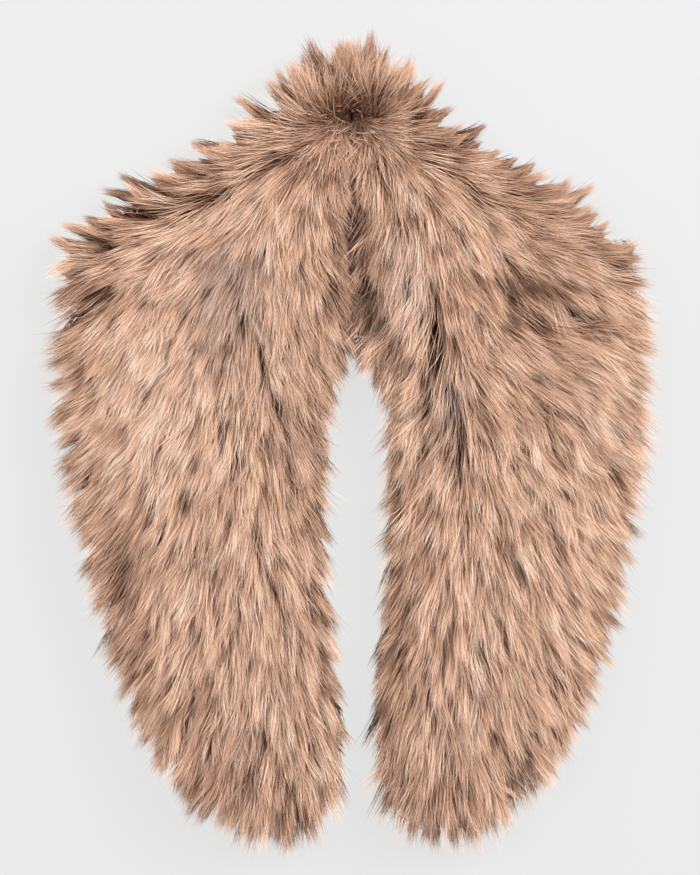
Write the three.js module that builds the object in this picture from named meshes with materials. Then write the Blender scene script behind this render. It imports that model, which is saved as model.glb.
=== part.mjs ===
// Fur collar wrap, laid flat on a table with its fur up.
// Millimetres, +Z up. +Y runs to the back of the neck, +X to the right of a person looking down at it.
// The pile is part of each wall, so the solids reach as far as the hair tips do.
import * as THREE from "three";

// Driving dimensions
const neckPoint = 221; // Y of the point where the centre seam meets the back stretch
const frontLength = 499; // from the neck point down to the tip of a front
const partingSlope = 0.638; // fall of the parting between a front and the back stretch, per mm outwards
const halfWidth = 203; // from the centre seam to the outer ends of the parting
const seamGap = 0.3; // clear space between neighbouring pieces

// Edges of the pile: a free edge is rounded under, a sewn one is an upright wall in a valley
const freeEdge = { height: 11, undercut: 6 };
const seamEdge = { height: 20, undercut: 0 };
const partingEdge = { height: 38, undercut: 0 };
const roundReach = 46; // how far in from an edge the pile takes to reach its full height

// Locks of hair, as tufts along the free edges and as low shingles over the top.
// peak is the share of a lock's length where it is fullest, spine the share of a front's width
// that the hair fans out from, stagger the shift from one column of locks to the next.
const tuft = { pitch: 24, reach: 6, wander: 7, peak: 0.7 };
const lock = { length: 44, columns: 7, rise: 2.6, slant: 70, peak: 0.75, spine: 0.4, stagger: 0.618 };

// Where an edge of a front turns from sewn to free, from the neck down
const innerTurn = { from: 166, to: 190 };
const outerTurn = { from: 118, to: 144 };
const backEnd = { wallFrom: 173, rimFrom: 191 }; // where the back stretch thins out to its ends

// Steps of the lofts
const frontRows = 60;
const backRows = 72;
const frontAcross = 26;
const backAcross = 12;

// Each front from the neck down: distance from the seam to its inner and outer edge, and its full height
const leftFront = [
  { down: 0, inner: 0, outer: 0, crown: 38 },
  { down: 60, inner: 0, outer: 94, crown: 47 },
  { down: 130, inner: 0, outer: 201, crown: 50 },
  { down: 168, inner: 0.5, outer: 200, crown: 50 },
  { down: 198, inner: 10, outer: 200, crown: 50 },
  { down: 252, inner: 16, outer: 196, crown: 50 },
  { down: 306, inner: 14, outer: 185, crown: 50 },
  { down: 360, inner: 8, outer: 171, crown: 49 },
  { down: 413, inner: 1, outer: 149, crown: 47 },
  { down: 453, inner: -3, outer: 126, crown: 43 },
  { down: 480, inner: 6, outer: 102, crown: 34 },
  { down: 493, inner: 21, outer: 72, crown: 22 },
  { down: 499, inner: 37, outer: 53, crown: 14 },
];
const rightFront = [
  { down: 0, inner: 0, outer: 0, crown: 38 },
  { down: 60, inner: 0, outer: 94, crown: 47 },
  { down: 130, inner: 0, outer: 201, crown: 50 },
  { down: 168, inner: 2, outer: 201, crown: 50 },
  { down: 198, inner: 18, outer: 200, crown: 50 },
  { down: 252, inner: 21, outer: 196, crown: 50 },
  { down: 306, inner: 19, outer: 186, crown: 50 },
  { down: 360, inner: 15, outer: 174, crown: 49 },
  { down: 413, inner: 11, outer: 155, crown: 47 },
  { down: 453, inner: 12, outer: 132, crown: 43 },
  { down: 480, inner: 20, outer: 108, crown: 34 },
  { down: 493, inner: 31, outer: 84, crown: 22 },
  { down: 499, inner: 46, outer: 64, crown: 14 },
];

// Back stretch from the seam out to either end: its upper edge and its full height
const backStretch = [
  { out: 0, top: 277, crown: 47 },
  { out: 18, top: 268, crown: 47 },
  { out: 36, top: 249, crown: 47 },
  { out: 54, top: 230, crown: 47 },
  { out: 73, top: 213, crown: 47 },
  { out: 115, top: 187, crown: 46 },
  { out: 149, top: 168, crown: 44 },
  { out: 172, top: 151, crown: 40 },
  { out: 191, top: 127, crown: 32 },
  { out: 203, top: 97, crown: 18 },
];

// Main folds and partings of the pile: each a soft ridge (rise above 0) or trough along a straight run
const folds = [
  { name: "right ridge", x: 52, down: 81, toX: 84, toDown: 222, width: 17, rise: 8 },
  { name: "trough beside it", x: 46, down: 150, toX: 62, toDown: 219, width: 13, rise: -9 },
  { name: "right crease", x: 102, down: 131, toX: 143, toDown: 132, width: 12, rise: -9 },
  { name: "right lower parting", x: 99, down: 420, toX: 109, toDown: 447, width: 12, rise: -5 },
  { name: "left notch", x: -179, down: 128, toX: -152, toDown: 119, width: 13, rise: -9 },
  { name: "left hollow", x: -92, down: 132, toX: -68, toDown: 172, width: 16, rise: -5 },
  { name: "left dimple", x: -119, down: 279, toX: -98, toDown: 274, width: 12, rise: -7 },
  { name: "left lower parting", x: -60, down: 410, toX: -55, toDown: 433, width: 12, rise: -6 },
];

const lerp = THREE.MathUtils.lerp;
const smoothstep = THREE.MathUtils.smoothstep;

// Reads a table's columns as smooth curves of its first column.
function readTable(rows, station, columns) {
  const stations = rows.map((row) => row[station]);
  const values = rows.flatMap((row) => columns.map((column) => row[column]));
  const curve = new THREE.CubicInterpolant(stations, values, columns.length);
  return (at) => Object.fromEntries(columns.map((column, i) => [column, curve.evaluate(at)[i]]));
}

// An edge part of the way between two kinds of edge.
const mixEdge = (a, b, share) => ({
  height: lerp(a.height, b.height, share),
  undercut: lerp(a.undercut, b.undercut, share),
});

// Outward step of a tufted edge: each tuft swells slowly and ends in a short point.
function tuftStep(along, freedom) {
  const uneven = along + tuft.wander * Math.sin(along / tuft.pitch);
  const phase = (((uneven / tuft.pitch) % 1) + 1) % 1;
  const swell = phase < tuft.peak ? phase / tuft.peak : (1 - phase) / (1 - tuft.peak);
  return tuft.reach * freedom * (swell - 0.5);
}

// Shingled locks: columns side by side, each a row of slow rises that drop at the lock's tip.
function lockRise(share, along) {
  const column = share * lock.columns;
  const fan = Math.abs(share - lock.spine) * (lock.slant / lock.length);
  const shift = Math.floor(column) * lock.stagger + fan;
  const phase = (((along / lock.length - shift) % 1) + 1) % 1;
  const rib = Math.sin(Math.PI * (column % 1));
  const swell = smoothstep(phase, 0, lock.peak) - smoothstep(phase, lock.peak, 1);
  return lock.rise * rib * (swell - 0.4);
}

// Height added by the folds at a place on the top of a front.
function foldRise(x, down) {
  const place = new THREE.Vector3(x, down, 0);
  const nearest = new THREE.Vector3();
  const rises = folds.map((fold) => {
    const run = new THREE.Line3(
      new THREE.Vector3(fold.x, fold.down, 0),
      new THREE.Vector3(fold.toX, fold.toDown, 0),
    );
    const away = run.closestPointToPoint(place, true, nearest).distanceTo(place);
    return fold.rise * Math.exp(-((away / fold.width) ** 2));
  });
  return rises.reduce((sum, rise) => sum + rise, 0);
}

// Height of the pile at a distance in from one edge: a quarter round from the edge up to the crown.
function shoulderHeight(distance, edge, crown) {
  const short = 1 - Math.min(distance / roundReach, 1);
  return lerp(edge.height, crown, Math.sqrt(1 - short ** 2));
}

// One closed section of pile between two edges, as places across it and heights, flat underneath.
// extra(share, place) gives the height that folds and locks add on top.
function pileSection(first, last, crown, firstEdge, lastEdge, steps, extra) {
  const section = [{ across: first + firstEdge.undercut, z: 0 }];
  for (let i = 0; i <= steps; i++) {
    const share = (1 - Math.cos((Math.PI * i) / steps)) / 2;
    const across = lerp(first, last, share);
    const rise = shoulderHeight(across - first, firstEdge, crown);
    const fall = shoulderHeight(last - across, lastEdge, crown);
    const depth = Math.sin(Math.PI * share);
    section.push({ across, z: (rise * fall) / crown + depth * extra(share, across) });
  }
  section.push({ across: last - lastEdge.undercut, z: 0 });
  return section;
}

// Closed solid through rings of points, with a fan over each end.
function loft(rings) {
  const around = rings[0].length;
  const points = rings.flat();
  const faces = [];
  for (let r = 0; r + 1 < rings.length; r++) {
    for (let i = 0; i < around; i++) {
      const next = (i + 1) % around;
      const [a, b] = [r * around + i, r * around + next];
      faces.push([a, b, b + around], [a, b + around, a + around]);
    }
  }
  const endRings = [rings[0], rings[rings.length - 1]];
  endRings.forEach((ring, end) => {
    const middle = points.length;
    const start = end * (rings.length - 1) * around;
    points.push(ring.reduce((sum, p) => sum.clone().add(p)).clone().divideScalar(around));
    for (let i = 0; i < around; i++) {
      const [a, b] = [start + i, start + ((i + 1) % around)];
      faces.push(end ? [a, b, middle] : [b, a, middle]);
    }
  });
  const volume = faces.reduce(
    (sum, [a, b, c]) => sum + points[a].dot(points[b].clone().cross(points[c])),
    0,
  );
  const outward = volume > 0 ? faces : faces.map(([a, b, c]) => [a, c, b]);
  const geometry = new THREE.BufferGeometry().setFromPoints(points);
  geometry.setIndex(outward.flat());
  geometry.computeVertexNormals();
  return geometry;
}

// A front: sections across it from the neck down, side -1 for the left and 1 for the right.
function frontGeometry(rows, side) {
  const table = readTable(rows, "down", ["inner", "outer", "crown"]);
  const partingStart = 3; // where the first section is wide enough to stand
  const rings = [];
  for (let r = 0; r <= frontRows; r++) {
    const down = lerp(partingStart, frontLength, r / frontRows);
    const row = table(down);
    const innerFree = smoothstep(down, innerTurn.from, innerTurn.to);
    const outerFree = smoothstep(down, outerTurn.from, outerTurn.to);
    const innerEdge = mixEdge(seamEdge, freeEdge, innerFree);
    const outerEdge = mixEdge(partingEdge, freeEdge, outerFree);
    const parting = (down - seamGap) / partingSlope;
    const sewn = Math.max(row.inner, 0) + seamGap / 2;
    const inner = lerp(sewn, row.inner, innerFree) - tuftStep(down + tuft.pitch / 3, innerFree);
    const outer = Math.min(parting, row.outer) + tuftStep(down, outerFree);
    const extra = (share, across) => foldRise(side * across, down) + lockRise(share, down);
    const section = pileSection(inner, outer, row.crown, innerEdge, outerEdge, frontAcross, extra);
    rings.push(section.map((p) => new THREE.Vector3(side * p.across, neckPoint - down, p.z)));
  }
  return loft(rings);
}

// The back stretch: upright sections from one shoulder over the neck point to the other.
function backGeometry() {
  const table = readTable(backStretch, "out", ["top", "crown"]);
  const rings = [];
  for (let r = 0; r <= backRows; r++) {
    const x = lerp(-halfWidth, halfWidth, r / backRows);
    const out = Math.abs(x);
    const row = table(out);
    const parting = neckPoint - out * partingSlope + seamGap / 2;
    const edge = mixEdge(partingEdge, freeEdge, smoothstep(out, backEnd.wallFrom, halfWidth));
    const wall = { height: edge.height, undercut: 0 };
    const top = row.top + tuftStep(out + tuft.pitch / 2, 1);
    const rim = mixEdge(freeEdge, wall, smoothstep(out, backEnd.rimFrom, halfWidth));
    const extra = (share) => lockRise(share, out);
    const section = pileSection(parting, top, row.crown, wall, rim, backAcross, extra);
    rings.push(section.map((p) => new THREE.Vector3(x, p.across, p.z)));
  }
  return loft(rings);
}

const fur = (colour) => new THREE.MeshStandardMaterial({ color: colour, roughness: 0.85, metalness: 0 });

const leftMesh = new THREE.Mesh(frontGeometry(leftFront, -1), fur(0xbd9a83));
leftMesh.name = "left_front";
const rightMesh = new THREE.Mesh(frontGeometry(rightFront, 1), fur(0xba9680));
rightMesh.name = "right_front";
const backMesh = new THREE.Mesh(backGeometry(), fur(0xb38c74));
backMesh.name = "back_stretch";

const collar = new THREE.Group();
collar.add(leftMesh, rightMesh, backMesh);

export default collar;
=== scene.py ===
import bpy
import math
import numpy as np
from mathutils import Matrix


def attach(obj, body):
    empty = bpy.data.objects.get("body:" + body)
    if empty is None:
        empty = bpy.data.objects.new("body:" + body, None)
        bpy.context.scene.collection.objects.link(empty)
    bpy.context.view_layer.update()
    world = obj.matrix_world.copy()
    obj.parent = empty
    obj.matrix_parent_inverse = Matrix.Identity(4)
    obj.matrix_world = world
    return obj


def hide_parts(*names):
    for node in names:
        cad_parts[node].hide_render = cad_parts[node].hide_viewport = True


# Fur collar wrap laid flat, fur up. The cut below is in millimetres and becomes metres where a mesh is made.

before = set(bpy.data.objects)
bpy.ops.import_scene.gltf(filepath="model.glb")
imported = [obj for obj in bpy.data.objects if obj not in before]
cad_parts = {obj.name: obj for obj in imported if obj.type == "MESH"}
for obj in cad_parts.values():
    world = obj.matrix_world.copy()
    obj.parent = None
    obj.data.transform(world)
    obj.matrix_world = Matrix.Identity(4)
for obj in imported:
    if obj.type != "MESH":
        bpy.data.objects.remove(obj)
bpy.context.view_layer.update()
mm = 0.001
rng = np.random.default_rng(1910)


# Camera straight above, with the photograph's frame

cameraSet = {
    "height": 1.925,          # metres above the table
    "centre": (-1.3, -2.7),   # mm, what the middle of the picture looks at
    "lens": 116.7,            # mm, on a 36 mm sensor along the tall side
}


# Camera straight over the centre, looking down.
def makeCamera(values):
    cameraData = bpy.data.cameras.new("camera")
    cameraData.sensor_width = 36
    cameraData.lens = values["lens"]
    cameraData.clip_end = 20
    camera = bpy.data.objects.new("camera", cameraData)
    camera.location = (values["centre"][0] * mm, values["centre"][1] * mm, values["height"])
    bpy.context.scene.collection.objects.link(camera)
    bpy.context.scene.camera = camera


makeCamera(cameraSet)
print("camera placed")


# Pale table, soft light

stageSet = {
    "tableSize": 12.0,       # metres
    "tableColour": (0.05, 0.05, 0.05),
    "tableGlow": 0.730,      # share of the table's brightness that no shadow reaches
    "sky": 0.22,
    "keyPower": 86.0,
    "keySize": 1.2,
    "keyPlace": (1.25, 0.85, 1.2),
    "fillPower": 47.0,
    "fillSize": 1.6,
    "fillPlace": (-1.2, 0.7, 1.3),
}


# Square sheet of the given size, flat at height 0.
def makeTable(values):
    half = values["tableSize"] / 2
    corners = np.array([(-half, -half, 0), (half, -half, 0), (half, half, 0), (-half, half, 0)])
    mesh = bpy.data.meshes.new("table")
    mesh.from_pydata(corners.tolist(), [], [(0, 1, 2, 3)])
    table = bpy.data.objects.new("table", mesh)
    bpy.context.scene.collection.objects.link(table)
    material = bpy.data.materials.new("tablePaper")
    material.use_nodes = True
    shader = material.node_tree.nodes["Principled BSDF"]
    shader.inputs["Base Color"].default_value = (*values["tableColour"], 1)
    shader.inputs["Roughness"].default_value = 0.9
    shader.inputs["Specular IOR Level"].default_value = 0.1
    shader.inputs["Emission Color"].default_value = (1, 1, 1, 1)
    shader.inputs["Emission Strength"].default_value = values["tableGlow"]
    mesh.materials.append(material)


# Square area light that faces the middle of the table.
def makeLight(name, power, size, place):
    lightData = bpy.data.lights.new(name, "AREA")
    lightData.energy = power
    lightData.size = size
    light = bpy.data.objects.new(name, lightData)
    light.location = place
    x, y, z = place
    light.rotation_euler = (math.atan2(math.hypot(x, y), z), 0, math.atan2(x, -y))
    bpy.context.scene.collection.objects.link(light)


# Even sky, the table and two lights.
def makeStage(values):
    scene = bpy.context.scene
    scene.view_settings.view_transform = "Standard"
    world = bpy.data.worlds.new("studio")
    scene.world = world
    world.use_nodes = True
    sky = world.node_tree.nodes["Background"]
    sky.inputs["Color"].default_value = (1, 1, 1, 1)
    sky.inputs["Strength"].default_value = values["sky"]
    makeTable(values)
    makeLight("keyLight", values["keyPower"], values["keySize"], values["keyPlace"])
    makeLight("fillLight", values["fillPower"], values["fillSize"], values["fillPlace"])


makeStage(stageSet)
print("table and light made")


# The cut of the collar

# From the neck point down: distance from the centre seam to the inner and outer reach of the fur.
# Rows are down, inner, outer.
leftCut = np.array([
    (0, 0, 201), (130, 0, 201), (168, 0.5, 200), (178, 7, 200), (187, 12, 200), (212, 14, 198), (252, 16, 192),
    (306, 14, 180), (360, 8, 166), (413, 1, 147), (453, -3, 125), (480, 5, 101), (493, 19, 70), (499, 36, 52),
])
rightCut = np.array([
    (0, 0, 201), (130, 0, 201), (164, 2, 201), (173, 9, 201), (182, 16, 200), (200, 20, 200), (252, 22, 195),
    (306, 19, 185), (360, 15, 173), (413, 11, 154), (453, 12, 131),
    (480, 20, 106), (493, 31, 81), (499, 46, 62),
])

# From the seam out to either end: y of the top of the hair. Rows are out, top.
leftTop = np.array([
    (0, 266), (10, 262), (20, 261), (30, 257), (38, 253), (44, 243), (52, 232), (62, 219), (72, 209), (83, 198),
    (98, 188), (116, 175), (150, 163), (163, 149), (176, 136), (190, 121), (198, 106), (203, 92),
])
rightTop = np.array([
    (0, 266), (10, 262), (20, 260), (27, 257), (35, 250), (41, 242), (48, 231), (54, 220), (64, 208), (79, 198),
    (91, 187), (105, 174), (143, 162), (153, 148), (166, 135), (182, 123), (198, 108), (203, 92),
])

cut = {
    "neckPoint": 221.0,          # y of the top of the centre seam
    "slope": 0.638,              # fall of the parting for each mm outwards
    "tip": 499.0,                # end of the hair below the neck point
    "seamEnds": (130.0, 178.0),  # the pelts draw apart between these
    "innerInset": 13.0,          # from the reach of the fur back to the edge of the pelt
    "outerInset": 18.0,
    "tipInset": 25.0,
    "tipRound": 60.0,            # length of the pelt's round end
    "backDepth": (28.0, 21.0, 20.0),  # depth of the back pelt at the neck, beside it and at the shoulders
    "backEnd": 184.0,            # how far out the back pelt runs
    "backTurn": 60.0,            # how far out its depth beside the neck is given
    "partingEnds": (95.0, 125.0),  # the parting gives way to the free outer edge between these
    "tipMiddle": 0.45,           # share of a front's width that its round end closes on
    "tipPower": 2.6,             # how full that round is
}

pelt = {
    "thickness": 2.5,
    "edge": 3.0,      # height of a free edge over the table, to the middle of the pelt
    "seam": 6.0,      # at the centre seam
    "parting": 17.0,  # along the parting between fronts and back
    "crown": 19.0,
    "reach": 42.0,    # from an edge in to the crown
    "gap": 0.3,       # between pelts at a seam
    "backFall": 0.75,  # share of the parting's height that the back loses at its top edge
    "endRise": 0.25,   # share of it that is left at the back's ends
    "endReach": 40.0,  # mm over which the ends fall
}

# Soft folds, each along a straight run: x, down, to x, to down, half width, rise.
folds = np.array([
    (52, 81, 84, 222, 17, 8),          # right ridge
    (46, 150, 62, 219, 13, -9),        # trough beside it
    (102, 131, 143, 132, 12, -9),      # right crease
    (99, 420, 109, 447, 12, -5),       # right lower parting
    (-179, 128, -152, 119, 13, -9),    # left notch
    (-92, 132, -68, 172, 16, -5),      # left hollow
    (-119, 279, -98, 274, 12, -7),     # left dimple
    (-60, 410, -55, 433, 12, -6),      # left lower parting
])


# 0 up to the first value, 1 from the second, smooth between.
def smoothStep(value, start, end):
    t = np.clip((value - start) / (end - start), 0, 1)
    return t * t * (3 - 2 * t)


# Nearest place on a straight run, and the distance to it.
def toRun(x, down, run):
    spanX, spanDown = run[2] - run[0], run[3] - run[1]
    t = np.clip(((x - run[0]) * spanX + (down - run[1]) * spanDown) / (spanX ** 2 + spanDown ** 2), 0, 1)
    footX, footDown = run[0] + t * spanX, run[1] + t * spanDown
    return footX, np.hypot(x - footX, down - footDown)


# Sum of the folds' rises, each fading as a bell with the distance from its run.
def foldRise(x, down):
    total = np.zeros(np.broadcast(x, down).shape)
    for run in folds:
        total += run[5] * np.exp(-(toRun(x, down, run)[1] / run[4]) ** 2)
    return total


# Inner and outer edge of a front's pelt at a distance down: the fur's reach, drawn in by the insets,
# never past the seam or the parting, and closing on a full round at the tip.
def peltEdges(cutRows, down):
    inner = np.interp(down, cutRows[:, 0], cutRows[:, 1])
    outer = np.interp(down, cutRows[:, 0], cutRows[:, 2])
    free = smoothStep(down, *cut["seamEnds"])
    inner = pelt["gap"] / 2 * (1 - free) + (inner + cut["innerInset"]) * free
    outer = np.minimum(down / cut["slope"] - pelt["gap"], outer - cut["outerInset"])
    last = cut["tip"] - cut["tipInset"]
    beyond = np.clip((down - last + cut["tipRound"]) / cut["tipRound"], 0, 1)
    middle = inner + (outer - inner) * cut["tipMiddle"]
    close = np.sqrt(1 - beyond ** cut["tipPower"])
    return middle + (inner - middle) * close, middle + (outer - middle) * close


# Quarter-round rise from an edge's height to the crown, over the pelt's reach.
def shoulder(distance, edge):
    short = 1 - np.clip(distance / pelt["reach"], 0, 1)
    return edge + (pelt["crown"] - edge) * np.sqrt(1 - short ** 2)


# Height of a front's pelt without folds: the rises from the inner edge, the outer edge and the tip,
# multiplied.
def frontHeight(cutRows, out, down):
    inner, outer = peltEdges(cutRows, down)
    innerEdge = pelt["seam"] + (pelt["edge"] - pelt["seam"]) * smoothStep(down, *cut["seamEnds"])
    free = smoothStep(down, *cut["partingEnds"])
    outerEdge = pelt["parting"] + (pelt["edge"] - pelt["parting"]) * free
    crown = pelt["crown"]
    height = shoulder(out - inner, innerEdge) * shoulder(outer - out, outerEdge) / crown
    last = cut["tip"] - cut["tipInset"]
    return np.maximum(height * shoulder(last - down, pelt["edge"]) / crown, pelt["edge"])


# Height with folds, never under a free edge's.
def foldedHeight(cutRows, side, out, down):
    return np.maximum(frontHeight(cutRows, out, down) + foldRise(side * out, down), pelt["edge"])


# Depth of the back pelt above the parting, from the neck out to a shoulder.
def backDepth(out):
    return np.interp(out, (0, cut["backTurn"], cut["backEnd"]), cut["backDepth"])


# Height of the back pelt: falls from the parting to the free top edge, and to the ends.
def backHeight(out, up):
    fall = np.clip(up / backDepth(out), 0, 1)
    ends = smoothStep(cut["backEnd"] - out, 0, pelt["endReach"])
    across = 1 - pelt["backFall"] * fall ** 2
    along = pelt["endRise"] + (1 - pelt["endRise"]) * ends
    return pelt["edge"] + (pelt["parting"] - pelt["edge"]) * across * along


# Closed thin wall on a grid: the middle surface moved up and down by half the thickness, with a rim.
def makeShell(name, x, y, z):
    rows, columns = x.shape
    half = pelt["thickness"] / 2
    middle = np.stack((x, y, z), -1).reshape(-1, 3)
    upper = middle + (0, 0, half)
    lower = middle - (0, 0, half)
    index = np.arange(rows * columns).reshape(rows, columns)
    a, b, c, d = index[:-1, :-1], index[:-1, 1:], index[1:, 1:], index[1:, :-1]
    top = np.stack((a, b, c, d), -1).reshape(-1, 4)
    rim = np.concatenate((index[0, :-1], index[:-1, -1], index[-1, :0:-1], index[:0:-1, 0]))
    rimNext = np.roll(rim, -1)
    count = rows * columns
    bottom = top[:, ::-1] + count
    wall = np.stack((rimNext, rim, rim + count, rimNext + count), -1)
    mesh = bpy.data.meshes.new(name)
    mesh.from_pydata((np.concatenate((upper, lower)) * mm).tolist(), [],
                     np.concatenate((top, bottom, wall)).tolist())
    mesh.update()
    piece = bpy.data.objects.new(name, mesh)
    bpy.context.scene.collection.objects.link(piece)
    return piece


# Front pelt: a grid from edge to edge and from the neck to the tip.
def makeFrontPelt(name, cutRows, side):
    last = cut["tip"] - cut["tipInset"] - 0.4
    down = np.linspace(0.6, last, 90)[:, None]
    share = np.linspace(0, 1, 40)[None, :]
    inner, outer = peltEdges(cutRows, down)
    out = inner + (outer - inner) * share
    z = foldedHeight(cutRows, side, out, down + 0 * share)
    x = side * out
    y = cut["neckPoint"] - down + 0 * share
    return makeShell(name, x[:, ::side], y[:, ::side], z[:, ::side])


# Back pelt: a grid along the parting from shoulder to shoulder, and up from it.
def makeBackPelt(name):
    x = np.linspace(-cut["backEnd"], cut["backEnd"], 121)[None, :]
    share = np.linspace(1, 0, 14)[:, None]
    up = backDepth(np.abs(x)) * share
    y = cut["neckPoint"] - cut["slope"] * np.abs(x) + up + pelt["gap"]
    z = backHeight(np.abs(x) + 0 * share, up)
    return makeShell(name, x + 0 * share, y, z)


# Suede side of the pelts: soft mottling and a fine grain.
def suede():
    material = bpy.data.materials.new("suede")
    material.use_nodes = True
    nodes, links = material.node_tree.nodes, material.node_tree.links
    shader = nodes["Principled BSDF"]
    shader.inputs["Roughness"].default_value = 0.9
    shader.inputs["Specular IOR Level"].default_value = 0.15
    place = nodes.new("ShaderNodeTexCoord")
    mottle = nodes.new("ShaderNodeTexNoise")
    mottle.inputs["Scale"].default_value = 55
    mottle.inputs["Detail"].default_value = 5
    ramp = nodes.new("ShaderNodeValToRGB")
    ramp.color_ramp.elements[0].position = 0.3
    ramp.color_ramp.elements[0].color = (0.12, 0.068, 0.042, 1)
    ramp.color_ramp.elements[1].position = 0.75
    ramp.color_ramp.elements[1].color = (0.22, 0.13, 0.085, 1)
    grain = nodes.new("ShaderNodeTexNoise")
    grain.inputs["Scale"].default_value = 900
    bump = nodes.new("ShaderNodeBump")
    bump.inputs["Strength"].default_value = 0.3
    bump.inputs["Distance"].default_value = 0.0006
    links.new(place.outputs["Object"], mottle.inputs["Vector"])
    links.new(place.outputs["Object"], grain.inputs["Vector"])
    links.new(mottle.outputs["Fac"], ramp.inputs["Fac"])
    links.new(ramp.outputs["Color"], shader.inputs["Base Color"])
    links.new(grain.outputs["Fac"], bump.inputs["Height"])
    links.new(bump.outputs["Normal"], shader.inputs["Normal"])
    return material


suedeMaterial = suede()
leftPelt = makeFrontPelt("left_pelt", leftCut, -1)
rightPelt = makeFrontPelt("right_pelt", rightCut, 1)
backPelt = makeBackPelt("back_pelt")
for piece, node in ((leftPelt, "left_front"), (rightPelt, "right_front"), (backPelt, "back_stretch")):
    piece.data.materials.append(suedeMaterial)
    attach(piece, "root")
    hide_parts(node)
print("pelts made")


# Lie of the fur

# Angles are degrees from straight down the collar, outwards positive.
flow = {
    "spine": 0.33,   # share of a front's width with hair straight down
    "innerDown": (0, 120, 300, 440, 499),
    "innerSwing": (-36, -34, -32, -26, -18),
    "outerDown": (0, 60, 130, 250, 350, 430, 499),
    "outerSwing": (64, 62, 57, 50, 43, 35, 14),
    "backOut": (0, 15, 28, 40, 55, 80, 120, 160, 190),
    "backSwing": (180, 165, 146, 128, 117, 111, 114, 114, 98),
    "turnOver": (-12, 10),   # mm above the parting where the front's lie gives way to the back's
    "whorl": (5, 26),        # at the neck the turn lies lower by the first, over the second
    "tangle": (0, 9, 15, 50),  # hair in disorder under the neck: x, down, size, turn
    "tangleLocks": 80,       # locks added there on each side
    "lapDown": (30, 45, 110, 130, 165, 178),  # mm below the neck
    "lap": (40, 1, 1, 4, 5, 0),  # how far the hair laps over the seam there
    "woolLap": (14, 170),    # wool may cross the seam this far from it, down to the second
    "calm": (190, 330),      # mm below the neck where tufts give way to sleek hair
    "inBow": 0.8,            # how fast the heading swings in from the spine
    "outBow": 0.7,           # and out from it
    "partingSoft": 4,        # mm over which the hair turns at a parting
}

# Hair brushed aside in places: x, down, size, turn.
sweeps = np.array([
    (128, 153, 32, 30),    # right, under the crease
    (120, 92, 34, 16),     # right, over the crease
    (95, 170, 28, 16),     # right ridge
    (146, 50, 24, 26),     # right shoulder
    (-145, 50, 24, 12),    # left shoulder
])

# Lines that the hair falls away from on either side: x, down, to x, to down, reach, turn.
partings = np.array([
    (57, 125, 75, 226, 24, 17),
    (99, 420, 109, 447, 14, 14),
    (-60, 410, -55, 433, 14, 14),
])

# Gaps where the hair stands apart and its dark roots show: x, down, to x, to down, half width.
gaps = np.array([
    # along the seam
    (3, 16, 3, 28, 3), (1, 34, 1, 76, 2), (3, 74, 4, 112, 6.5), (6, 120, 7, 154, 7),
    # right trough
    (56, 128, 62, 175, 2.2), (64, 190, 76, 225, 2.0), (76, 225, 88, 226, 2.0),
    # right front
    (110, 134, 142, 128, 6.0), (101, 425, 103, 440, 1.6),
    # left front
    (-181, 137, -163, 128, 6.0), (-61, 414, -59, 426, 1.6),
    # left shoulder
    (-153, 74, -134, 76, 3.5), (-110, 63, -95, 66, 3.5),
])

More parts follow.
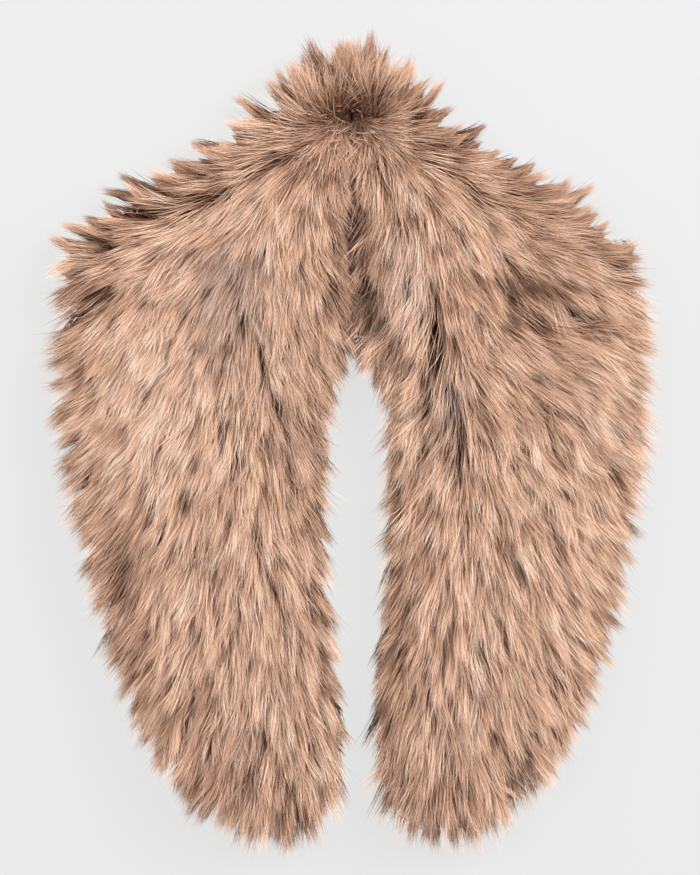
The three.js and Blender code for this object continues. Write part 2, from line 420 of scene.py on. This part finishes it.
# Patches of paler and ashen hair, and of painted shade where the hair lies in shadow: x, down, half width, half
# length, shade, ash.
patches = np.array([
    # left, pale
    (-125, 185, 47, 47, 0.12, 0), (-135, 246, 24, 40, 0.10, 0), (-85, 239, 17, 40, 0.08, 0),
    (-60, 91, 10, 27, 0.12, 0), (-122, 339, 17, 40, 0.08, 0), (-72, 366, 20, 40, 0.07, 0),
    (-50, 413, 7, 12, 0.18, 0), (-10, 455, 13, 33, 0.08, 0),
    # ashen
    (-78, 138, 24, 38, -0.10, 0.6), (-100, 135, 9, 30, -0.24, 0.4), (-62, 158, 6, 17, -0.14, 0.2),
    (-75, 165, 6, 10, -0.12, 0.2), (-82, 205, 9, 15, -0.14, 0.3), (-42, 232, 21, 24, -0.08, 0.2),
    # left, darker: mostly painted shade, under the shoulder tufts, in the notch and the dimple and along the
    # lower left side away from the light
    (-144, 75, 20, 7, -0.34, 0), (-101, 65, 14, 6, -0.34, 0), (-174, 135, 17, 11, -0.46, 0),
    (-70, 118, 5, 10, -0.30, 0),
    (-83, 97, 6, 6, -0.20, 0), (-42, 58, 17, 8, -0.20, 0), (-45, 81, 8, 7, -0.18, 0),
    (-112, 276, 11, 7, -0.18, 0), (-160, 313, 14, 27, -0.40, 0), (-148, 373, 10, 42, -0.24, 0),
    (-102, 412, 17, 17, -0.15, 0), (-92, 463, 24, 16, -0.30, 0), (-42, 483, 12, 10, -0.22, 0),
    # right, ashen
    (32, 132, 21, 44, -0.06, 0.5), (36, 145, 10, 13, 0.12, 0.2), (66, 222, 15, 30, -0.08, 0.7),
    # right, pale
    (181, 199, 17, 44, 0.14, 0), (59, 254, 20, 17, 0.12, 0), (86, 373, 9, 40, 0.07, 0),
    (143, 359, 15, 19, 0.10, 0),
    # right, darker: mostly painted shade, in the crease, the trough and the lower parting and down the inner
    # edge away from the light
    (27, 180, 8, 13, -0.24, 0), (99, 156, 38, 26, -0.20, 0), (125, 130, 24, 9, -0.45, 0),
    (64, 170, 6, 36, -0.14, 0), (24, 359, 9, 60, -0.14, 0), (103, 430, 8, 23, -0.14, 0),
    (56, 477, 30, 12, -0.22, 0), (180, 152, 15, 12, -0.14, 0), (170, 259, 7, 19, -0.12, 0),
    # under the neck: painted shade along the parting and round the neck, partly ashen
    (-20, 8, 17, 11, -0.25, 0.2), (-40, 20, 18, 9, -0.14, 0), (-75, 40, 30, 10, -0.10, 0),
    (19, 31, 20, 20, -0.08, 0.3), (46, 51, 10, 9, -0.14, 0), (3, 20, 7, 10, -0.30, 0),
    # down the seam: painted shade in the seam's valley
    (4, 94, 9, 18, -0.50, 0), (9, 144, 10, 24, -0.55, 0),
])


# Share of the way across a front, from the fur's inner reach to its outer one.
def frontShare(cutRows, out, down):
    inner = np.interp(down, cutRows[:, 0], cutRows[:, 1])
    outer = np.minimum(np.interp(down, cutRows[:, 0], cutRows[:, 2]), down / cut["slope"])
    return np.clip((out - inner) / np.maximum(outer - inner, 1), 0, 1)


# Local changes of heading: each sweep fades as a bell round its place, and each parting turns the hair
# inwards on its inner side and outwards on its outer side.
def localTurn(x, down):
    total = np.zeros(x.shape)
    for placeX, placeDown, size, turn in sweeps:
        total += turn * np.exp(-((x - placeX) ** 2 + (down - placeDown) ** 2) / size ** 2)
    for run in partings:
        footX, distance = toRun(x, down, run)
        outer = np.tanh((np.abs(x) - np.abs(footX)) / flow["partingSoft"])
        total += run[5] * outer * np.exp(-(distance / run[4]) ** 2)
    return total


# Heading over the whole collar, in radians: on a front it swings in towards the seam on one side of the
# spine and out on the other, and across the parting it turns over into the back's lie.
def hairHeading(cutRows, side, x, down):
    out = np.abs(x)
    share = frontShare(cutRows, side * x, down)
    inwards = np.interp(down, flow["innerDown"], flow["innerSwing"])
    outwards = np.interp(down, flow["outerDown"], flow["outerSwing"])
    spine = flow["spine"]
    inPart = np.clip(1 - share / spine, 0, 1) ** flow["inBow"]
    outPart = np.clip((share - spine) / (1 - spine), 0, 1) ** flow["outBow"]
    front = inwards * inPart + outwards * outPart
    back = np.interp(out, flow["backOut"], flow["backSwing"])
    drop, wide = flow["whorl"]
    turned = smoothStep(cut["slope"] * out - down + drop * np.exp(-(out / wide) ** 2), *flow["turnOver"])
    return np.radians(front + (back - front) * turned + localTurn(x, down))


# How deep in the tangle a place is, fading as a bell from 1.
def tangled(points):
    placeX, placeDown, size, _ = flow["tangle"]
    down = cut["neckPoint"] - points[:, 1]
    return np.exp(-((points[:, 0] - placeX) ** 2 + (down - placeDown) ** 2) / size ** 2)


scatterSet = {
    "wide": 215,       # mm, half of the box that roots are scattered over
    "long": 290,
    "rowStep": 0.866,  # between rows, for a step of 1 along them
    "jitter": 0.38,
}


# Jittered rows of points over the collar's box, every second row moved half a step.
def scatter(spacing):
    xs = np.arange(-scatterSet["wide"], scatterSet["wide"], spacing)
    ys = np.arange(-scatterSet["long"], scatterSet["long"], spacing * scatterSet["rowStep"])
    x, y = np.meshgrid(xs, ys)
    x = x + spacing / 2 * (np.arange(len(ys)) % 2)[:, None]
    points = np.stack((x.ravel(), y.ravel()), -1)
    jitter = scatterSet["jitter"]
    return points + rng.uniform(-jitter, jitter, points.shape) * spacing


# Extra points on one side of the tangle under the neck, evenly over a half disc.
def tanglePlaces(side):
    placeX, placeDown, size, _ = flow["tangle"]
    radius = size * np.sqrt(rng.uniform(0, 1, flow["tangleLocks"]))
    angle = rng.uniform(-math.pi / 2, math.pi / 2, flow["tangleLocks"])
    x = placeX + side * (1 + radius * np.cos(angle))
    return np.stack((x, cut["neckPoint"] - placeDown - radius * np.sin(angle)), -1)


# Which points lie on a front's pelt.
def onFront(cutRows, side, points):
    down = cut["neckPoint"] - points[:, 1]
    inner, outer = peltEdges(cutRows, down)
    last = cut["tip"] - cut["tipInset"]
    out = side * points[:, 0]
    return (out > inner + 0.5) & (out < outer - 0.3) & (down > 0.8) & (down < last)


# Which points lie on the back pelt.
def onBack(points):
    out = np.abs(points[:, 0])
    up = points[:, 1] - cut["neckPoint"] + cut["slope"] * out
    return (up > 0.3) & (up < backDepth(out)) & (out < cut["backEnd"])


# Ground of a stretch at some points: height of the pelt, how far in from a free edge from 0 to 1,
# the heading of the hair, and its side.
def frontGround(cutRows, side, points):
    down = cut["neckPoint"] - points[:, 1]
    inner, outer = peltEdges(cutRows, down)
    out = np.clip(side * points[:, 0], inner, outer)
    plain = frontHeight(cutRows, out, down)
    depth = np.clip((plain - pelt["edge"]) / (pelt["crown"] - pelt["edge"]), 0, 1)
    heading = hairHeading(cutRows, side, points[:, 0], down)
    return foldedHeight(cutRows, side, out, down), depth, heading, np.full(len(points), side)


# The same for the back, whose depth falls from the parting to its top edge.
def backGround(points):
    out = np.abs(points[:, 0])
    down = cut["neckPoint"] - points[:, 1]
    up = cut["slope"] * out - down
    height = backHeight(out, np.clip(up, 0, None))
    depth = np.clip(1.0 - 0.6 * up / backDepth(out), 0, 1)
    side = np.where(points[:, 0] < 0, -1, 1)
    return height, depth, hairHeading(rightCut, side, points[:, 0], down), side


# Which points lie past the reach of the fur: over a free edge, above the top of the back, or further over
# the seam than the fronts' hair laps there.
def pastFront(cutRows, side, x, y):
    down = cut["neckPoint"] - y
    out = side * x
    inner = np.interp(down, cutRows[:, 0], cutRows[:, 1])
    outer = np.interp(down, cutRows[:, 0], cutRows[:, 2])
    lap = np.interp(down, flow["lapDown"], flow["lap"])
    crossed = out < inner - lap
    return crossed | (out > outer) | (down > cut["tip"]) | pastBack(x, y)


# Which points lie above the top of the hair, or out past its ends.
def pastBack(x, y):
    out = np.abs(x)
    top = np.where(x < 0, np.interp(out, *leftTop.T), np.interp(out, *rightTop.T))
    return (y > top) | (out > leftTop[-1, 0])


# Which points lie close to the seam, where wool may cross it.
def bySeam(x, y):
    wide, long = flow["woolLap"]
    return (np.abs(x) < wide) & (cut["neckPoint"] - y < long)


# Which points lie in one of the gaps.
def inGap(x, down):
    inside = np.zeros(x.shape, bool)
    for run in gaps:
        inside |= toRun(x, down, run)[1] < run[4]
    return inside


# Shade and ash of the patches at some points, each fading as a bell; their darker steps are mostly painted
# shade.
def patchToneAndShade(x, down):
    shade = np.zeros(x.shape)
    ash = np.zeros(x.shape)
    for placeX, placeDown, wide, long, shadeStep, ashStep in patches:
        near = np.exp(-((x - placeX) / wide) ** 2 - ((down - placeDown) / long) ** 2)
        shade += shadeStep * near
        ash += ashStep * near
    return shade, ash


# Fur

lockSet = {
    "spacing": 6.3,       # mm between the roots of neighbouring locks
    "radius": 4.4,        # spread of one lock's roots
    "strandsInTuft": 5,
    "tuftsInLock": 9,
    "length": (44, 56),   # hair at a free edge and in the middle
    "rootLift": (16, 38),  # degrees off the pelt at the root, at a free edge and in the middle
    "tipLift": (-10, 20),
    "gather": (0.62, 0.93),  # how far the tufts draw in to the lock's tip
    "edgeGather": 0.15,   # more of that at a free edge
    "edgePaintedShade": -0.28,   # painted shade: hair at a free edge is coloured darker, against the full light it gets there
    "rimPaintedShade": -0.12,    # painted shade too on hair that ends at the fur's reach or stops at a gap
    "pinch": 0.86,        # how far the strands draw in to the tuft's tip
    "own": 0.5,           # share of a strand's heading that comes from its own root, the rest from its lock's
    "turn": 8,            # degrees of uneven heading, lock by lock
    "bend": 12,           # degrees of sideways bend
    "wave": 0.8,          # mm of sideways wave
    "flyaway": 0.05,      # share of loose strands
    "over": (0.0, 4.5),   # mm that a lock runs past the fur's reach, and how much that varies
    "overMost": 8.0,
    "width": 0.41,        # mm, at the widest
    "roll": 0.4,
    "levels": 4,
    "light": 0.14,        # share of pale strands
    "dark": 0.14,         # share of dark strands
    "lightStep": 0.20,
    "darkStep": -0.16,
    "tone": 0.55,         # place of plain hair between dark and pale
    "toneVaries": (0.08, 0.06, 0.045),   # by lock, by tuft and by strand
    "strandSpread": 1.3,  # mm between the strands of a tuft
    "tuftTurn": 0.45,     # uneven heading of a tuft and of a strand, as shares of a lock's
    "strandTurn": 0.35,
    "looseTurn": 4,       # times that for a loose strand
    "looseDraw": 0.2,
    "drawMost": 0.96,
    "lockLength": (0.8, 1.12),
    "strandLength": (0.75, 1),
    "tuftLength": 0.05,
    "lengthAcross": (1.05, 0.18),   # length at a lock's middle, and how much less at its rim
    "lockLift": 0.14,     # radians of uneven lift, lock by lock and strand by strand
    "strandLift": 0.06,
    "leastChange": 0.05,  # radians between root and tip lift
    "strandBend": 0.3,    # bend of a strand as a share of its lock's
    "calmTurn": 0.4,      # share of turn and tip lift that sleek hair loses
    "calmDraw": 0.25,
    "knotShort": 0.5,     # in the tangle hair is shorter, stands up more and bends more
    "knotLift": 0.25,
    "knotBend": 0.8,
    "strandOver": 1,
    "overLeast": -4,
    "crossing": 0.3,      # share of hair that crosses a gap
    "bare": 0.85,         # share of roots left out of a gap
    "whole": 0.98,        # hair shorter than this share ends at the fur's reach
    "widthVaries": (0.75, 1.25),
}

# Softer hair in larger, pointed tufts over the back
backSet = dict(
    lockSet,
    spacing=9.0, radius=7.0, strandsInTuft=6, tuftsInLock=22,
    length=(48, 56), tipLift=(-26, 8), gather=(0.90, 0.98), own=0.05, turn=3.5,
    over=(2.0, 7.0), overMost=16.0,
    # more painted shade at the back's free edges and rims
    light=0.08, dark=0.10, edgePaintedShade=-0.5, rimPaintedShade=-0.14,
)

woolSet = {
    "spacing": 5.0,
    "strands": 5,
    "length": (22, 27),
    "width": 1.8,
    "short": 9.0,   # mm that it stays inside the fur's reach
    "levels": 3,
    "rootLift": (25, 60),
    "tipLift": (4, 22),
    "liftVaries": 0.15,
    "leastChange": 0.05,
    "lengthVaries": (0.75, 1.1),
    "turn": 0.4,    # radians
    "bend": 0.5,
    "knotShort": 0.4,
    "knotTurn": 2,
    # dark underfur, made darker still as painted shade for the gaps between locks
    "tone": 0.10,
    "knotTone": 0.06,
    "toneVaries": 0.05,
    "toneEnds": (0.02, 0.6),
    "leastReach": 0.3,   # shorter stubs are left out
    "widthVaries": (0.7, 1.2),
    "roll": 0.4,
}

ribbonSet = {
    "taperAt": (0, 0.35, 0.75, 1),   # width along a strand
    "taper": (0.75, 1, 0.62, 0),
    "lowest": 0.6,                   # mm over the table
    "uvHalf": 0.006,                 # half width of a strand on its UV map
    "uvEnds": (0.02, 0.96),          # start and length of a strand on it
    "naturalPart": (0.02, 0.59),     # start and length in the tone ramp
    "ashenPart": (0.67, 0.31),
}

trimSet = {
    "steps": 13,
    "rootFree": 0.3,   # share of a line that no gap stops
    "least": 0.2,      # share of a line that is always kept
}

drawPower = 1.2   # how late along a strand it draws in


# Ribbons from centre lines: each level's two corners lie half a width to either side,
# turned by the ribbon's own roll, and the last level is one point.
def makeRibbons(name, lines, width, roll, tone):
    count, levels, _ = lines.shape
    tangent = np.gradient(lines, axis=1)
    tangent /= np.linalg.norm(tangent, axis=2, keepdims=True) + 1e-9
    across = np.cross(tangent, (0, 0, 1))
    across /= np.linalg.norm(across, axis=2, keepdims=True) + 1e-9
    lift = np.cross(across, tangent)
    side = across * np.cos(roll)[:, None, None] + lift * np.sin(roll)[:, None, None]
    share = np.linspace(0, 1, levels)
    taper = np.interp(share, ribbonSet["taperAt"], ribbonSet["taper"])
    offset = side * (width[:, None] * taper[None, :] / 2)[:, :, None]
    left = (lines - offset)[:, :-1]
    right = (lines + offset)[:, :-1]
    corners = np.concatenate((np.stack((left, right), 2).reshape(count, -1, 3), lines[:, -1:]), 1)
    perStrand = 2 * (levels - 1) + 1
    corners[..., 2] = np.maximum(corners[..., 2], ribbonSet["lowest"])
    base = np.arange(levels - 2) * 2
    quads = np.stack((base, base + 1, base + 3, base + 2), -1).ravel()
    pattern = np.concatenate((quads, (perStrand - 3, perStrand - 2, perStrand - 1)))
    loops = (pattern[None, :] + perStrand * np.arange(count)[:, None]).ravel()
    faceSizes = np.tile(np.array([4] * (levels - 2) + [3]), count)
    starts = np.concatenate(([0], np.cumsum(faceSizes)[:-1]))
    uvHalf = ribbonSet["uvHalf"]
    uvStart, uvLength = ribbonSet["uvEnds"]
    cornerTone = np.concatenate((np.tile((-uvHalf, uvHalf), levels - 1), (0,)))
    cornerShare = np.concatenate((np.repeat(share[:-1], 2), (1,)))
    uv = np.empty((count, perStrand, 2))
    uv[..., 0] = tone[:, None] + cornerTone
    uv[..., 1] = uvStart + uvLength * cornerShare
    mesh = bpy.data.meshes.new(name)
    mesh.vertices.add(count * perStrand)
    mesh.vertices.foreach_set("co", (corners * mm).astype(np.float32).ravel())
    mesh.loops.add(len(loops))
    mesh.loops.foreach_set("vertex_index", loops.astype(np.int32))
    mesh.polygons.add(len(starts))
    mesh.polygons.foreach_set("loop_start", starts.astype(np.int32))
    layer = mesh.uv_layers.new(name="OFBake")
    layer.data.foreach_set("uv", uv.reshape(-1, 2)[loops].astype(np.float32).ravel())
    mesh.update(calc_edges=True)
    piece = bpy.data.objects.new(name, mesh)
    bpy.context.scene.collection.objects.link(piece)
    return piece


# Centre lines of hair: each leaves its root at one lift and reaches its tip at another, so its run and
# its rise are the integrals of the cosine and sine of a lift that changes evenly. It bends sideways with
# the square of the way along and waves once, its root's offset from the lock shrinks towards the tip, and
# reach is the share of the full line that is kept.
def hairLines(hair, reach, levels):
    share = np.linspace(0, 1, levels)[None, :]
    t = share * reach[:, None]
    length, rootLift = hair["length"][:, None], hair["rootLift"][:, None]
    change = hair["tipLift"][:, None] - rootLift
    lift = rootLift + change * t
    run = length * (np.sin(lift) - np.sin(rootLift)) / change
    rise = length * (np.cos(rootLift) - np.cos(lift)) / change
    swing = length * hair["bend"][:, None] * t ** 2 / 2
    swing = swing + hair["wave"][:, None] * t * np.sin(2 * math.pi * t + hair["phase"][:, None])
    forwardX = (hair["side"] * np.sin(hair["heading"]))[:, None]
    forwardY = -np.cos(hair["heading"])[:, None]
    keep = 1 - hair["draw"][:, None] * share ** drawPower
    x = hair["root"][:, :1] + hair["offset"][:, :1] * keep + forwardX * run - forwardY * swing
    y = hair["root"][:, 1:] + hair["offset"][:, 1:] * keep + forwardY * run + forwardX * swing
    return np.stack((x, y, hair["height"][:, None] + rise), -1)


# Share of each line to keep: up to where its lock, on average, leaves the fur's reach and a little over,
# or to where it would cross a gap that it does not grow in.
def keptReach(hair, past, over, crosses, perLock):
    steps = trimSet["steps"]
    t = np.linspace(0, 1, steps)
    lines = hairLines(hair, np.ones(len(over)), steps)
    x, y = lines[..., 0], lines[..., 1]
    gone = past(x, y)
    leave = np.where(gone.any(1), t[gone.argmax(1)], 1).reshape(-1, perLock).mean(1)
    leave = np.repeat(leave, perLock) + over / hair["length"]
    blocked = inGap(x, cut["neckPoint"] - y)
    blocked &= ~blocked[:, :1] & ~crosses[:, None] & (t > trimSet["rootFree"])
    stop = np.where(blocked.any(1), t[blocked.argmax(1)], 1)
    return np.clip(np.minimum(leave, stop), trimSet["least"], 1)


# Place of a strand's colour in the ramp: natural hair takes the first part, ashen hair the second.
def colourPlace(tone, ashen):
    tone = np.clip(tone, 0, 1)
    start, span = ribbonSet["naturalPart"]
    ashStart, ashSpan = ribbonSet["ashenPart"]
    return np.where(ashen, ashStart + ashSpan * tone, start + span * tone)


# Long hair of one stretch, lock by lock, tuft by tuft.
def growLocks(values, roots, ground, past):
    locks = len(roots)
    tufts, strands = values["tuftsInLock"], values["strandsInTuft"]
    perLock = tufts * strands
    count = locks * perLock
    which = np.repeat(np.arange(locks), perLock)
    turn, bend = math.radians(values["turn"]), math.radians(values["bend"])

    # one draw for each lock, given to all its strands
    def perLockNormal(size):
        return rng.normal(0, size, locks)[which]

    # one draw for each tuft, given to all its strands
    def perTuftNormal(size):
        return np.repeat(rng.normal(0, size, locks * tufts), strands)

    angle = rng.uniform(0, 2 * math.pi, locks * tufts)
    spread = np.sqrt(rng.uniform(0, 1, locks * tufts))
    tuftOffset = values["radius"] * spread[:, None] * np.stack((np.cos(angle), np.sin(angle)), -1)
    tiny = rng.normal(0, values["strandSpread"], (count, 2))
    offset = np.repeat(tuftOffset, strands, axis=0) + tiny
    height, depth, heading, side = ground(roots[which] + offset)
    heading = values["own"] * heading + (1 - values["own"]) * ground(roots)[2][which]
    loose = rng.uniform(0, 1, count) < values["flyaway"]
    knot = tangled(roots)[which]
    calm = smoothStep(cut["neckPoint"] - roots[which, 1], *flow["calm"])
    uneven = perLockNormal(turn) + perTuftNormal(turn * values["tuftTurn"])
    strandTurn = rng.normal(0, turn * values["strandTurn"], count)
    uneven = uneven + strandTurn * np.where(loose, values["looseTurn"], 1)
    uneven = uneven * (1 - values["calmTurn"] * calm)
    uneven = uneven + rng.normal(0, math.radians(flow["tangle"][3]), count) * knot
    length = np.interp(depth, (0, 1), values["length"]) * rng.uniform(*values["lockLength"], locks)[which]
    longest, less = values["lengthAcross"]
    length = length * np.repeat(longest - less * spread, strands)
    length = length * (1 + perTuftNormal(values["tuftLength"]))
    length = length * rng.uniform(*values["strandLength"], count)
    length = length * (1 - values["knotShort"] * knot)
    rootLift = np.radians(np.interp(depth, (0, 1), values["rootLift"])) + perLockNormal(values["lockLift"])
    rootLift = rootLift + rng.normal(0, values["strandLift"], count) + values["knotLift"] * knot
    tipLift = np.radians(np.interp(depth, (0, 1), values["tipLift"])) * (1 - values["calmTurn"] * calm)
    tipLift = tipLift + rng.normal(0, values["strandLift"], count) + values["knotLift"] * knot
    level = np.abs(tipLift - rootLift) < values["leastChange"]
    draw = rng.uniform(*values["gather"], locks)[which] + values["edgeGather"] * (1 - depth)
    draw = np.minimum(draw * (1 - values["calmDraw"] * calm), values["drawMost"])
    draw = np.where(loose, values["looseDraw"], draw)
    bends = perLockNormal(bend) + rng.normal(0, bend * values["strandBend"], count)
    bends = bends + rng.normal(0, values["knotBend"], count) * knot
    hair = {
        "root": roots[which], "offset": offset, "height": height, "side": side, "length": length,
        "heading": heading + uneven,
        "rootLift": rootLift,
        "tipLift": np.where(level, rootLift - values["leastChange"], tipLift),
        "bend": bends,
        "wave": perTuftNormal(values["wave"]),
        "phase": np.repeat(rng.uniform(0, 6.3, locks * tufts), strands),
        "draw": draw,
    }
    over = rng.normal(*values["over"], locks)[which] + rng.normal(0, values["strandOver"], count)
    over = np.clip(over, values["overLeast"], values["overMost"])
    crosses = rng.uniform(0, 1, count) < values["crossing"]
    reach = keptReach(hair, past, over, crosses, perLock)
    lines = hairLines(hair, reach, values["levels"])
    share = np.linspace(0, 1, values["levels"])[None, :, None] ** drawPower
    lines[..., :2] -= (values["pinch"] * tiny * (1 - draw[:, None]))[:, None, :] * share
    middle = lines[:, values["levels"] // 2 + 1]
    # patches bring paler and ashen hair and painted shade into the tone
    shade, ash = patchToneAndShade(middle[:, 0], cut["neckPoint"] - middle[:, 1])
    kind = rng.uniform(0, 1, count)
    step = np.where(kind < values["light"], values["lightStep"], 0)
    step = np.where(kind > 1 - values["dark"], values["darkStep"], step)
    # painted shade on hair cut short at the fur's reach or at a gap
    step = step + np.where(reach < values["whole"], values["rimPaintedShade"], 0)
    byLock, byTuft, byStrand = values["toneVaries"]
    # painted shade on hair towards a free edge
    tone = values["tone"] + shade + values["edgePaintedShade"] * (1 - depth) + step
    tone = tone + perLockNormal(byLock) + perTuftNormal(byTuft) + rng.normal(0, byStrand, count)
    ashen = rng.uniform(0, 1, count) < ash
    bare = inGap(lines[:, 0, 0], cut["neckPoint"] - lines[:, 0, 1])
    bare = bare & (rng.uniform(0, 1, count) < values["bare"])
    return lines[~bare], colourPlace(tone, ashen)[~bare]


# Short wool under the locks, each strand on its own root.
def growWool(values, roots, ground, past):
    count = len(roots) * values["strands"]
    place = np.repeat(roots, values["strands"], axis=0) + rng.uniform(-1, 1, (count, 2)) * values["spacing"]
    height, depth, heading, side = ground(place)
    knot = tangled(place)
    rootLift = np.radians(np.interp(depth, (0, 1), values["rootLift"]))
    rootLift = rootLift + rng.normal(0, values["liftVaries"], count)
    tipLift = np.radians(np.interp(depth, (0, 1), values["tipLift"]))
    length = np.interp(depth, (0, 1), values["length"]) * rng.uniform(*values["lengthVaries"], count)
    uneven = rng.normal(0, values["turn"], count)
    wool = {
        "root": place, "offset": np.zeros((count, 2)), "height": height, "side": side,
        "length": length * (1 - values["knotShort"] * knot),
        "heading": heading + uneven + rng.normal(0, values["knotTurn"], count) * knot,
        "rootLift": rootLift,
        "tipLift": np.minimum(tipLift, rootLift - values["leastChange"]),
        "bend": rng.normal(0, values["bend"], count),
        "wave": np.zeros(count), "phase": np.zeros(count),
        "draw": np.zeros(count),
    }
    reach = keptReach(wool, past, np.full(count, -values["short"]), np.ones(count, bool), 1)
    tone = values["tone"] + values["knotTone"] * knot + rng.normal(0, values["toneVaries"], count)
    tone = np.clip(tone, *values["toneEnds"])
    kept = reach > values["leastReach"]
    return hairLines(wool, reach, values["levels"])[kept], tone[kept]


# Hair colour: a ramp from root to tip along the strand, times a tone that is the strand's own.
def furMaterial(name, alongRamp, toneRamp):
    material = bpy.data.materials.new(name)
    material.use_nodes = True
    nodes, links = material.node_tree.nodes, material.node_tree.links
    shader = nodes["Principled BSDF"]
    shader.inputs["Roughness"].default_value = 0.55
    shader.inputs["Specular IOR Level"].default_value = 0.25
    strand = nodes.new("ShaderNodeUVMap")
    strand.uv_map = "OFBake"
    split = nodes.new("ShaderNodeSeparateXYZ")
    ramps = []
    for stops in (alongRamp, toneRamp):
        node = nodes.new("ShaderNodeValToRGB")
        elements = node.color_ramp.elements
        while len(elements) < len(stops):
            elements.new(0.5)
        for element, (position, colour) in zip(elements, stops):
            element.position = position
            element.color = (*colour, 1)
        ramps.append(node)
    mix = nodes.new("ShaderNodeMix")
    mix.data_type = "RGBA"
    mix.blend_type = "MULTIPLY"
    mix.inputs["Factor"].default_value = 1
    links.new(strand.outputs["UV"], split.inputs["Vector"])
    links.new(split.outputs["Y"], ramps[0].inputs["Fac"])
    links.new(split.outputs["X"], ramps[1].inputs["Fac"])
    links.new(ramps[0].outputs["Color"], mix.inputs["A"])
    links.new(ramps[1].outputs["Color"], mix.inputs["B"])
    links.new(mix.outputs["Result"], shader.inputs["Base Color"])
    return material


# Ramps of place and colour: the tone's natural part and then its ashen part, and both kinds of hair from root
# to tip.
toneRamp = (
    (0.0, (0.07, 0.037, 0.024)),
    (0.10, (0.29, 0.158, 0.10)),
    (0.32, (0.68, 0.43, 0.298)),
    (0.62, (0.92, 0.785, 0.66)),
    (0.66, (0.26, 0.175, 0.138)),
    (1.0, (0.86, 0.69, 0.58)),
)
# root ends are dark for the underfur, and darker still as painted shade deep in the pile
guardRamp = (
    (0.0, (0.10, 0.058, 0.04)),
    (0.4, (0.26, 0.182, 0.143)),
    (0.62, (0.60, 0.535, 0.49)),
    (0.82, (0.89, 0.865, 0.845)),
    (1.0, (0.93, 0.925, 0.92)),
)
woolRamp = (
    (0.0, (0.10, 0.058, 0.04)),
    (0.5, (0.29, 0.20, 0.158)),
    (1.0, (0.60, 0.52, 0.46)),
)
guardMaterial = furMaterial("guardHair", guardRamp, toneRamp)
woolMaterial = furMaterial("wool", woolRamp, toneRamp)
print("fur colours made")

stretches = {
    "left_front": (lockSet, -1, 2, lambda p: onFront(leftCut, -1, p), lambda p: frontGround(leftCut, -1, p),
                   lambda x, y: pastFront(leftCut, -1, x, y)),
    "right_front": (lockSet, 1, 2, lambda p: onFront(rightCut, 1, p), lambda p: frontGround(rightCut, 1, p),
                    lambda x, y: pastFront(rightCut, 1, x, y)),
    "back": (backSet, 0, 1, onBack, backGround, pastBack),
}

furOf = {}
for name, (values, side, parts, inside, ground, past) in stretches.items():
    places = scatter(values["spacing"])
    if side:
        places = np.concatenate((places, tanglePlaces(side)))
    places = places[inside(places)]
    lines, tone = growLocks(values, places, ground, past)
    furOf[name] = []
    order = np.argsort(-lines[:, 0, 1], kind="stable")
    for number, part in enumerate(np.array_split(order, parts), 1):
        width = values["width"] * rng.uniform(*values["widthVaries"], len(part))
        roll = rng.normal(0, values["roll"], len(part))
        hair = makeRibbons(f"{name}_hair_{number}", lines[part], width, roll, tone[part])
        hair.data.materials.append(guardMaterial)
        furOf[name].append(hair)
    woolPlaces = scatter(woolSet["spacing"])
    woolPlaces = woolPlaces[inside(woolPlaces)]
    woolLines, woolTone = growWool(woolSet, woolPlaces, ground, lambda x, y: past(x, y) & ~bySeam(x, y))
    count = len(woolLines)
    width = woolSet["width"] * rng.uniform(*woolSet["widthVaries"], count)
    roll = rng.normal(0, woolSet["roll"], count)
    wool = makeRibbons(f"{name}_wool", woolLines, width, roll, woolTone)
    wool.data.materials.append(woolMaterial)
    furOf[name].append(wool)
    print(name, "locks", len(places), "strands", len(lines), "wool", count)

for pieces in furOf.values():
    for piece in pieces:
        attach(piece, "root")

bpy.context.view_layer.update()
